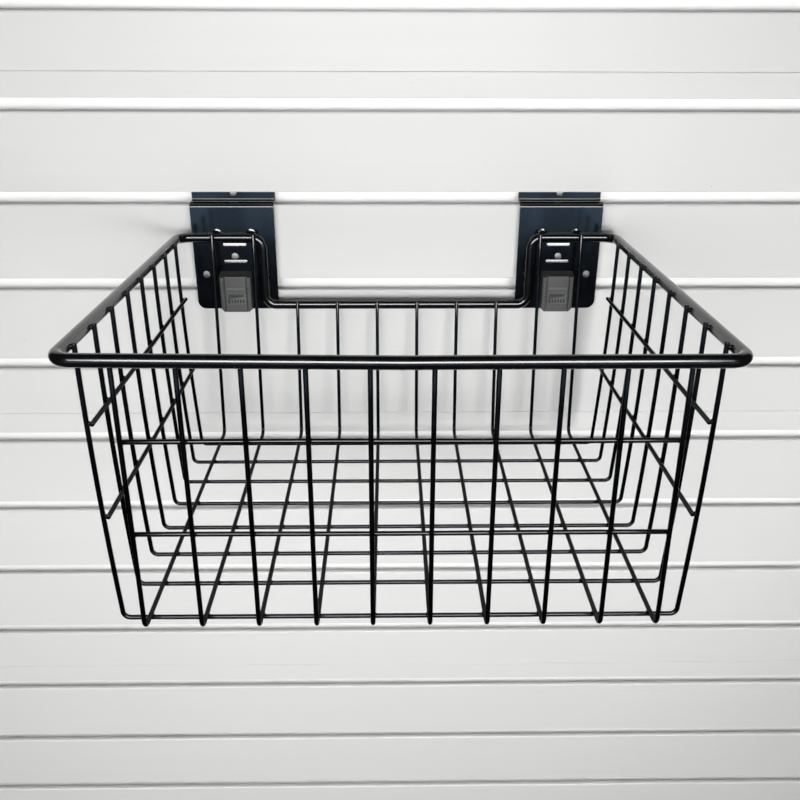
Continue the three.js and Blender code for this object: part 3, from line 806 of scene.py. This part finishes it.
def build_panel():
    screws = sorted(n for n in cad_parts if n.startswith("panel_screw_"))
    boxes = {n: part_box(n) for n in screws}
    places = [((lo.x + hi.x) / 2 / MM, -(lo.z + hi.z) / 2 / MM) for lo, hi in boxes.values()]
    for number in range(1, PLANK_COUNT + 1):
        build_plank(number, places)
    draw = random.Random(SEED)
    mesh = None
    for node, (low, high) in boxes.items():
        under_head = low.y / MM + SCREW_HEAD_HEIGHT
        mesh = mesh or build_screw_mesh(high.y / MM - under_head)
        piece = add_object(node.replace("panel_screw", "wall_screw"), mesh)
        centre = (low + high) / 2
        place = Matrix.Translation((centre.x, under_head * MM, centre.z))
        piece.matrix_world = place @ Matrix.Rotation(draw.uniform(0, math.pi), 4, "Y")
        stand_for(piece, node, "panel")


# -------- basket


def bowed(points, amount, draw):
    """The points with the slight bow that drawn wire keeps, sideways to its run."""
    length = sum((b - a).length for a, b in zip(points, points[1:]))
    phase = draw.uniform(0, 2 * math.pi)
    swing = draw.uniform(0.4, 1.0) * amount * MM
    out, travelled = [], 0.0
    plane = (points[-1] - points[0]).cross(points[len(points) // 2] - points[0])
    sideways = plane.normalized() if plane.length > 1e-9 else Vector((0, 0, 1))
    for i, point in enumerate(points):
        if i:
            travelled += (point - points[i - 1]).length
        t = travelled / length
        out.append(point + sideways * swing * math.sin(math.pi * t) * math.sin(phase + 5 * t))
    return out


def add_wire(node, name, corners, radii, draw):
    """A wire through the corners, bent at the inner ones, that stands for the node."""
    points = split_long(bent_path(corners, radii) if radii else corners, WIRE_STEP)
    bm = bmesh.new()
    add_rod(bm, bowed(points, WIRE_BOW, draw), WIRE_RADIUS, WIRE_SIDES, tip=WIRE_TIP_ROUNDING)
    piece = finish_mesh(name, bm, [WIRE_COAT])
    stand_for(piece, node, "basket")


def rim_half_width(forward):
    """Half of the rim's width at a distance in front of the panel's face."""
    fraction = (forward - RIM_BACK) / (RIM_FRONT - RIM_BACK)
    back, front = RIM_HALF_WIDTH["back"], RIM_HALF_WIDTH["front"]
    return back + (front - back) * fraction


def leg_line_half_width(drop, forward):
    """How far the straight line of a cross wire's leg is from the middle at that drop."""
    at_rim = rim_half_width(forward) - WIRE_TO_RIM
    fraction = (drop - RIM_DROP) / (FLOOR_DROP - RIM_DROP)
    return at_rim + (FLOOR_HALF_WIDTH - at_rim) * fraction


def leg_half_width(drop, forward):
    """The same for the bowed leg itself."""
    fraction = (drop - LEG_TOP_DROP) / (CROSS_FLOOR_DROP - LEG_TOP_DROP)
    return leg_line_half_width(drop, forward) + 4 * LEG_BOW * fraction * (1 - fraction)


def front_leg(drop):
    """How far forward a long wire's front leg is at that drop."""
    at_rim = RIM_FRONT - WIRE_TO_RIM
    fraction = (drop - RIM_DROP) / (FLOOR_DROP - RIM_DROP)
    return at_rim + (FLOOR_FRONT - at_rim) * fraction


def cross_lean(drop):
    """How far forward of its top a cross wire's leg is at that drop."""
    return CROSS_WIRE_LEAN * (drop - RIM_DROP) / (FLOOR_DROP - RIM_DROP)


def long_wire_x(i):
    """X of a long wire, counted from 0 at the left."""
    return (i - (LONG_WIRE_COUNT - 1) / 2) * WIRE_PITCH


def cross_wire_top(i):
    """How far forward a cross wire's ends are, counted from 0 at the front."""
    return CROSS_WIRE_FRONT - i * WIRE_PITCH


def front_rim_drop(x):
    """Drop of the front rod, which sags towards the middle."""
    middle = RIM_FRONT_DROP["middle"]
    corner = RIM_FRONT_DROP["right" if x > 0 else "left"]
    return middle + (corner - middle) * abs(x) / RIM_HALF_WIDTH["front"]


def side_rim_drop(side, forward):
    """Drop of a side rod, which rises to its front corner."""
    fraction = (forward - RIM_BACK) / (RIM_FRONT - RIM_BACK)
    return RIM_DROP + (front_rim_drop(side * RIM_HALF_WIDTH["front"]) - RIM_DROP) * fraction


def build_rim(draw):
    """The rim rod, closed by a butt weld in the middle of the front."""
    back, front = RIM_HALF_WIDTH["back"], RIM_HALF_WIDTH["front"]
    corners = [
        from_hook(0.0, RIM_FRONT, RIM_FRONT_DROP["middle"]),
        from_hook(front, RIM_FRONT, RIM_FRONT_DROP["right"]),
        from_hook(back, RIM_BACK, RIM_DROP),
        from_hook(DIP_HALF_WIDTH, RIM_BACK, RIM_DROP),
        from_hook(DIP_HALF_WIDTH, RIM_BACK, DIP_DROP),
        from_hook(-DIP_HALF_WIDTH, RIM_BACK, DIP_DROP),
        from_hook(-DIP_HALF_WIDTH, RIM_BACK, RIM_DROP),
        from_hook(-back, RIM_BACK, RIM_DROP),
        from_hook(-front, RIM_FRONT, RIM_FRONT_DROP["left"]),
        from_hook(0.0, RIM_FRONT, RIM_FRONT_DROP["middle"]),
    ]
    half_way_round = [RIM_BEND_RADIUS[k] for k in ("front", "back", "dip_top", "dip_foot")]
    points = bent_path(corners, half_way_round + half_way_round[::-1], 16)[:-1]
    points = split_long(points, RIM_STEP)
    bm = bmesh.new()
    add_rod(bm, points, RIM_RADIUS, RIM_SIDES, closed=True)
    weld = [from_hook(x, RIM_FRONT, RIM_FRONT_DROP["middle"]) for x in BUTT_WELD]
    shares = list(BUTT_WELD.values())
    add_rod(
        bm,
        weld,
        RIM_RADIUS,
        RIM_SIDES,
        swell=lambda i: shares[i] + BUTT_WELD_UNEVENNESS * draw.uniform(-1, 1),
    )
    piece = finish_mesh("rim", bm, [ROD_COAT], 50.0)
    piece.visible_glossy = False  # its streak of light would show in the bracket plates
    stand_for(piece, "rim_rod", "basket")


def build_long_wires(draw):
    bends = [LONG_BEND_RADIUS, LONG_BEND_RADIUS]
    for i in range(LONG_WIRE_COUNT):
        x = long_wire_x(i)
        back_top = (DIP_DROP if abs(x) < DIP_HALF_WIDTH else RIM_DROP) - RIM_RADIUS
        corners = [
            from_hook(x, RIM_BACK + WIRE_TO_RIM, back_top),
            from_hook(x, FLOOR_BACK, FLOOR_DROP),
            from_hook(x, FLOOR_FRONT, FLOOR_DROP),
            from_hook(x, RIM_FRONT - WIRE_TO_RIM, RIM_DROP - FRONT_TOP_BELOW_RIM),
        ]
        add_wire(f"long_wire_{i + 1}", f"lengthwise_wire_{i + 1}", corners, bends, draw)


def build_cross_wires(draw):
    middle_drop = (LEG_TOP_DROP + CROSS_FLOOR_DROP) / 2
    half_leg = middle_drop - LEG_TOP_DROP
    bow_corner = LEG_BOW / (1 - LEG_BEND_SHARE / 2)
    bow_radius = LEG_BEND_SHARE * half_leg * half_leg / bow_corner
    bends = [bow_radius, CROSS_BEND_RADIUS, CROSS_BEND_RADIUS, bow_radius]
    for i in range(CROSS_WIRE_COUNT):
        top, lean = cross_wire_top(i), CROSS_WIRE_LEAN
        leg = [
            (leg_line_half_width(LEG_TOP_DROP, top), top, LEG_TOP_DROP),
            (leg_line_half_width(middle_drop, top) + bow_corner, top + lean / 2, middle_drop),
            (leg_line_half_width(CROSS_FLOOR_DROP, top), top + lean, CROSS_FLOOR_DROP),
        ]
        corners = [from_hook(-x, forward, drop) for x, forward, drop in leg]
        corners += [from_hook(x, forward, drop) for x, forward, drop in reversed(leg)]
        add_wire(f"cross_wire_{i + 1}", f"crosswise_wire_{i + 1}", corners, bends, draw)


def build_girth_wires(draw):
    half = long_wire_x(LONG_WIRE_COUNT - 1) + FRONT_GIRTH_OVERHANG
    for level, drop in FRONT_GIRTH_DROPS.items():
        forward = front_leg(drop) - WIRE_TO_WIRE
        ends = [from_hook(-half, forward, drop), from_hook(half, forward, drop)]
        add_wire(f"front_girth_wire_{level}", f"front_girth_{level}", ends, None, draw)
    front = cross_wire_top(0) + SIDE_GIRTH_OVERHANG["front"]
    back = cross_wire_top(CROSS_WIRE_COUNT - 1) - SIDE_GIRTH_OVERHANG["back"]
    for level, drop in SIDE_GIRTH_DROPS.items():
        for hand, side in SIDES:
            ends = []
            for forward in (front, back):
                x = leg_half_width(drop, forward) - WIRE_TO_WIRE
                ends.append(from_hook(side * x, forward + cross_lean(drop), drop))
            add_wire(f"{hand}_girth_wire_{level}", f"{hand}_girth_{level}", ends, None, draw)


def weld_places():
    """Every resistance weld between two wires or a wire and the rim: its kind and centre."""
    places = []
    half_gap = WIRE_TO_WIRE / 2
    to_rod = RIM_RADIUS + WELD_TO_RIM
    for i in range(LONG_WIRE_COUNT):
        x = long_wire_x(i)
        for j in range(CROSS_WIRE_COUNT):
            forward = cross_wire_top(j) + CROSS_WIRE_LEAN
            places.append(("floor", from_hook(x, forward, FLOOR_DROP + half_gap)))
        for drop in FRONT_GIRTH_DROPS.values():
            places.append(("front_girth", from_hook(x, front_leg(drop) - half_gap, drop)))
        back_drop = DIP_DROP if abs(x) < DIP_HALF_WIDTH else RIM_DROP
        places.append(("back_rim", from_hook(x, RIM_BACK + to_rod, back_drop)))
        front_drop = front_rim_drop(x) + FRONT_WELD_FALL
        places.append(("front_rim", from_hook(x, RIM_FRONT - to_rod, front_drop)))
    for j in range(CROSS_WIRE_COUNT):
        top = cross_wire_top(j)
        for side in (-1, 1):
            for drop in SIDE_GIRTH_DROPS.values():
                x = side * (leg_half_width(drop, top) - half_gap)
                places.append(("side_girth", from_hook(x, top + cross_lean(drop), drop)))
            x = side * (rim_half_width(top) - to_rod)
            places.append(("side_rim", from_hook(x, top, side_rim_drop(side, top))))
    return places


def build_welds(draw):
    """All wire welds in one piece, and the rim's welds to each bracket plate in another."""
    bm = bmesh.new()
    for kind, centre in weld_places():
        add_nugget(bm, centre, WELD_HALF_SIZES[kind], draw.uniform(0, 50))
    piece = finish_mesh("wire_welds", bm, [WIRE_COAT], 180.0)
    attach(piece, "basket")
    for hand, side in SIDES:
        bm = bmesh.new()
        for x in RIM_WELD_X:
            centre = from_hook(side * x, BRACKET_WELD_FORWARD, RIM_WELD["drop"])
            add_nugget(bm, centre, RIM_WELD["half_sizes"], draw.uniform(0, 50))
        for drop in DIP_WELD["drops"]:
            x = side * (DIP_HALF_WIDTH - DIP_WELD["inset"])
            centre = from_hook(x, BRACKET_WELD_FORWARD, drop)
            add_nugget(bm, centre, DIP_WELD["half_sizes"], draw.uniform(0, 50))
        piece = finish_mesh(f"bracket_welds_{hand}", bm, [WIRE_COAT], 180.0)
        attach(piece, "basket")


# -------- brackets


def bracket_section():
    """The bent sheet's outline in (forward, drop): plate up, shelf back over the lip, tongue up."""
    plate = PLATE_FACE - SHEET / 2
    line = bent_path(
        [
            Vector((plate, PLATE_DROP, 0)) * MM,
            Vector((plate, SHELF_DROP + SHELF_FALL, 0)) * MM,
            Vector((0.6, SHELF_DROP, 0)) * MM,
            Vector((-TONGUE_DEPTH, SHELF_DROP, 0)) * MM,
            Vector((-TONGUE_DEPTH, -TONGUE_RISE, 0)) * MM,
        ],
        SHEET_BEND_RADII,
        8,
    )
    sides = [[], []]
    for point, direction in zip(line, tangents(line, False)):
        across = Vector((-direction.y, direction.x, 0)) * SHEET / 2 * MM
        sides[0].append((point + across) / MM)
        sides[1].append((point - across) / MM)
    return sides[0] + sides[1][::-1]


def add_louvre(bm, x, drop, half_length, half_height, proud):
    """A pressed bead: a bar with rounded ends whose face leans out of the plate towards its foot."""
    rings = []
    for at, fall in LOUVRE_END:
        rings.append([(at, up * fall, out * fall) for up, out in LOUVRE_SECTION])
    rings += [[(-at, up, out) for at, up, out in ring] for ring in rings[-2::-1]]
    placed = []
    for ring in rings:
        points = []
        for at, up, out in ring:
            forward = PLATE_FACE + proud * out
            points.append(from_hook(x + at * half_length, forward, drop + half_height * up))
        placed.append(points)
    add_rings(bm, placed)


def build_bracket(hand, side):
    """The bent plate, and in a piece of their own its pressed beads, weld domes and pimples."""
    centre = side * BRACKET_X
    bm = bmesh.new()
    section = bracket_section()
    rings = []
    for x in (centre - BRACKET_HALF_WIDTH, centre + BRACKET_HALF_WIDTH):
        rings.append([from_hook(x, p.x, p.y) for p in section])
    add_rings(bm, rings)
    piece = finish_mesh(f"bracket_{hand}", bm, [SHEET_COAT])

    cutters = [drill(centre, MIDDLE_HOLE_DROP, HOLE_RADIUS, CUT_THROUGH)]
    for offset in (-SIDE_HOLE["offset"], SIDE_HOLE["offset"]):
        cutters.append(drill(centre + offset, SIDE_HOLE["drop"], HOLE_RADIUS, CUT_THROUGH))
    outline = [(centre - x, drop) for x, drop in HALF_NOTCH]
    outline += [(centre + x, drop) for x, drop in reversed(HALF_NOTCH)]
    cutters.append(prism_along_y("notch", outline, -TONGUE_DEPTH + 3, -TONGUE_DEPTH - 3))
    window = (centre - WINDOW["half_width"], centre + WINDOW["half_width"])
    cutters.append(block("window", window, WINDOW["forward"], WINDOW["drop"]))
    for edge_side in (-1, 1):
        edge = centre + edge_side * BRACKET_HALF_WIDTH
        inner = edge - edge_side * PLATE_CORNER_RADIUS
        outline = [(inner, PLATE_DROP + 1), (edge + edge_side, PLATE_DROP + 1)]
        outline.append((edge + edge_side, PLATE_DROP - PLATE_CORNER_RADIUS))
        for step in range(11):
            angle = math.pi / 2 * step / 10
            x = inner + edge_side * PLATE_CORNER_RADIUS * math.cos(angle)
            drop = PLATE_DROP - PLATE_CORNER_RADIUS * (1 - math.sin(angle))
            outline.append((x, drop))
        cutters.append(prism_along_y("corner", outline, *CUT_THROUGH))
    cut(piece, cutters)
    soften_edges(piece, SOFT_EDGE["plate"])
    even_normals(piece, large=FLAT_AREA)

    pressed = bmesh.new()
    for drop in LOUVRE_DROPS:
        add_louvre(pressed, centre, drop, *LOUVRE_SIZES)
    for x in RIM_WELD_X:
        place = from_hook(side * x, PLATE_FACE, RIM_WELD_DOME["drop"])
        add_nugget(pressed, place, RIM_WELD_DOME["half_sizes"], 0.0, 0.0)
    for offset in (-PIMPLE["offset"], PIMPLE["offset"]):
        for drop in PIMPLE["drops"]:
            place = from_hook(centre + offset, PLATE_FACE, drop)
            add_nugget(pressed, place, PIMPLE["half_sizes"], 0.0, 0.0)
    beads = finish_mesh(f"bracket_beads_{hand}", pressed, [SHEET_COAT], 30.0)
    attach(beads, "basket")
    stand_for(piece, f"bracket_plate_{hand}", "basket")


# -------- locks


def lock_block(hand, centre):
    """The lock's block: side edges chamfered, lower corners cut off and the top sloping forward."""
    half, chamfer = LOCK_HALF_WIDTH, LOCK_CHAMFER
    bevel_start = LOCK_FRONT - LOCK_FRONT_BEVEL["depth"]
    stations = ((LOCK_BACK, 0.0), (bevel_start, 0.0), (LOCK_FRONT, LOCK_FRONT_BEVEL["inset"]))
    bm = bmesh.new()
    rings = []
    for forward, inset in stations:
        outline = [
            (-half + inset, LOCK_TOP),
            (-half + inset, LOCK_BOTTOM - chamfer),
            (-half + chamfer, LOCK_BOTTOM - 0.3 * inset),
            (half - chamfer, LOCK_BOTTOM - 0.3 * inset),
            (half - inset, LOCK_BOTTOM - chamfer),
            (half - inset, LOCK_TOP),
        ]
        rings.append([from_hook(centre + x, forward, drop) for x, drop in outline])
    add_rings(bm, rings)
    piece = finish_mesh(f"lock_{hand}", bm, [LOCK_PLASTIC])
    wedge = bmesh.new()
    rings = []
    for x in (centre - half - 2, centre + half + 2):
        outline = [
            (LOCK_BACK - 1, LOCK_TOP - LOCK_SLOPE / 10),
            (LOCK_FRONT + 1, LOCK_TOP + 1.1 * LOCK_SLOPE),
            (LOCK_FRONT + 1, LOCK_TOP - 5),
            (LOCK_BACK - 1, LOCK_TOP - 5),
        ]
        rings.append([from_hook(x, forward, drop) for forward, drop in outline])
    add_rings(wedge, rings)
    cut(piece, [finish_mesh("slope", wedge, [])])
    return piece


def build_lock(hand, side):
    """The lock with its neck and hook, and the two raised bars of its grip in pieces of their own."""
    centre = side * BRACKET_X
    piece = lock_block(hand, centre)
    inner = LOCK_HALF_WIDTH - LOCK_RIDGE["width"]
    panel = LOCK_FRONT - LOCK_RIDGE["proud"]
    across = (centre - inner, centre + inner)
    cutters = [block("recess", across, (panel, LOCK_CUT_FORWARD), LOCK_CUT_DROP)]
    groove_depth = (panel - LOCK_GROOVE["depth"], LOCK_CUT_FORWARD)
    for edge_side in (-1, 1):
        groove_inner = inner - LOCK_GROOVE["width"]
        across = sorted((centre + edge_side * inner, centre + edge_side * groove_inner))
        cutters.append(block("groove", across, groove_depth, LOCK_CUT_DROP))
    cut(piece, cutters)
    neck_bottom = SLOT_PITCH + SLOT_OPENING - NECK["clearance"]
    neck_top = neck_bottom - NECK["height"]
    across = (centre - NECK["half_width"], centre + NECK["half_width"])
    neck = block("neck", across, NECK["forward"], (neck_top, neck_bottom))
    hook = block("hook", across, HOOK["forward"], (neck_top, neck_bottom + HOOK["fall"]))
    cut(piece, [neck, hook], "UNION")
    soften_edges(piece, SOFT_EDGE["lock"], segments=3)
    even_normals(piece)

    bars = []
    for bar in GRIP_BARS:
        across = (centre - GRIP_HALF_WIDTH, centre + GRIP_HALF_WIDTH)
        bars.append(block("bar", across, (panel - GRIP_ROOT, panel + bar["proud"]), bar["drop"]))
    groove_depth = (panel + GRIP_CUT_FORWARD[0], GRIP_CUT_FORWARD[1])
    across = (centre - GRIP_GROOVE["half_width"], centre + GRIP_GROOVE["half_width"])
    grooves = [block("groove", across, groove_depth, GRIP_GROOVE["drop"])]
    for i in range(GRIP_RIBS["count"]):
        x = centre + (i - (GRIP_RIBS["count"] - 1) / 2) * GRIP_RIBS["pitch"]
        across = (x - GRIP_RIBS["half_width"], x + GRIP_RIBS["half_width"])
        grooves.append(block("groove", across, groove_depth, GRIP_RIBS["drop"]))
    cut(bars[1], grooves)
    for index, bar in enumerate(bars):
        bar.data.materials.clear()
        bar.data.materials.append(LOCK_PLASTIC)
        soften_edges(bar, SOFT_EDGE["grip"])
        even_normals(bar)
        bar.name = f"lock_{hand}_grip_{index + 1}"
        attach(bar, f"lock_{hand}")
    stand_for(piece, f"bracket_lock_{hand}", f"lock_{hand}")


# -------- build the object

build_panel()
draw = random.Random(SEED)
build_rim(draw)
build_long_wires(draw)
build_cross_wires(draw)
build_girth_wires(draw)
build_welds(draw)
for hand, side in SIDES:
    build_bracket(hand, side)
    build_lock(hand, side)

# -------- floor, lights, camera


def build_floor():
    """A wide floor just under the panel; it neither lights the object nor shows in its gloss."""
    bm = bmesh.new()
    bmesh.ops.create_grid(bm, x_segments=8, y_segments=8, size=FLOOR_SIZE)
    floor = finish_mesh("studio_floor", bm, [pale_floor()])
    floor.location.z = cad_box[0].z - FLOOR_GAP
    floor.visible_glossy = False
    floor.visible_diffuse = False


def area_light(name, place, aim, size, radiance, tint=(1.0, 1.0, 1.0)):
    """A soft rectangular light that the camera does not see directly."""
    data = bpy.data.lights.new(name, "AREA")
    data.shape = "RECTANGLE"
    data.size, data.size_y = size
    data.energy = radiance * math.pi * size[0] * size[1]
    data.color = tint
    light = add_object(name, data)
    light.location = place
    light.rotation_euler = (Vector(aim) - Vector(place)).to_track_quat("-Z", "Y").to_euler()
    light.visible_camera = False
    return light


def build_lights():
    """Soft boxes and a fill in front, two strips that only show in gloss, and a light behind."""
    key = area_light("key", (0.32, -0.93, -0.15), (0.0, 0.0, -0.12), (0.26, 0.26), 18.8)
    second = area_light("second", (-0.16, -0.93, 0.02), (0.0, 0.0, -0.12), (0.2, 0.2), 17.8)
    fill = area_light("fill", (-0.33, -1.42, -0.42), (0.0, 0.0, -0.3), (1.5, 0.9), 3.65)
    for light in (key, second, fill):
        light.visible_glossy = False
    strip = area_light("strip", (0.0, -0.95, 0.215), (0.0, 0.0, -0.04), (0.88, 0.23), 21.0)
    dusk = area_light("dusk", (0.0, -0.95, -0.19), (0.0, 0.0, -0.1), (1.7, 0.09), 1.3, DUSK_BLUE)
    for light in (strip, dusk):
        light.visible_diffuse = False
    area_light("back", (0.9, 1.7, 0.6), (0.0, 0.0, -0.2), (1.2, 1.2), 6.0)


def build_world():
    """Almost dark surroundings, with a pale backdrop behind the object."""
    world = bpy.data.worlds.new("studio")
    bpy.context.scene.world = world
    world.use_nodes = True
    tree = world.node_tree
    tree.nodes.clear()
    output = tree.nodes.new("ShaderNodeOutputWorld")
    background = tree.nodes.new("ShaderNodeBackground")
    path = tree.nodes.new("ShaderNodeLightPath")
    strength = tree.nodes.new("ShaderNodeMapRange")
    strength.inputs["To Min"].default_value = SURROUNDINGS_STRENGTH
    strength.inputs["To Max"].default_value = BACKDROP_STRENGTH
    tree.links.new(path.outputs["Is Camera Ray"], strength.inputs["Value"])
    tree.links.new(strength.outputs["Result"], background.inputs["Strength"])
    background.inputs["Color"].default_value = (0.96, 0.98, 1.0, 1.0)
    tree.links.new(background.outputs["Background"], output.inputs["Surface"])


CAMERA_PLACE = (-0.00777, -0.75198, 0.12431)
CAMERA_PITCH = 23.462
CAMERA_YAW = 0.849
CAMERA_ROLL = 0.161
CAMERA_LENS = 37.86
SENSOR_WIDTH = 36.0


def build_camera():
    """The camera looks ahead and down, turned by its yaw and roll."""
    pitch, yaw = math.radians(CAMERA_PITCH), math.radians(CAMERA_YAW)
    roll = math.radians(CAMERA_ROLL)
    ahead = Vector((math.sin(yaw) * math.cos(pitch), math.cos(yaw) * math.cos(pitch), -math.sin(pitch)))
    level = Vector((math.cos(yaw), -math.sin(yaw), 0))
    upright = level.cross(ahead)
    right = math.cos(roll) * level + math.sin(roll) * upright
    up = -math.sin(roll) * level + math.cos(roll) * upright
    data = bpy.data.cameras.new("camera")
    data.sensor_width = SENSOR_WIDTH
    data.lens = CAMERA_LENS
    camera = add_object("camera", data)
    rotation = Matrix((right, up, -ahead)).transposed()
    camera.matrix_world = Matrix.Translation(CAMERA_PLACE) @ rotation.to_4x4()
    bpy.context.scene.camera = camera


build_floor()
build_lights()
build_world()
build_camera()
bpy.context.scene.view_settings.view_transform = "Standard"
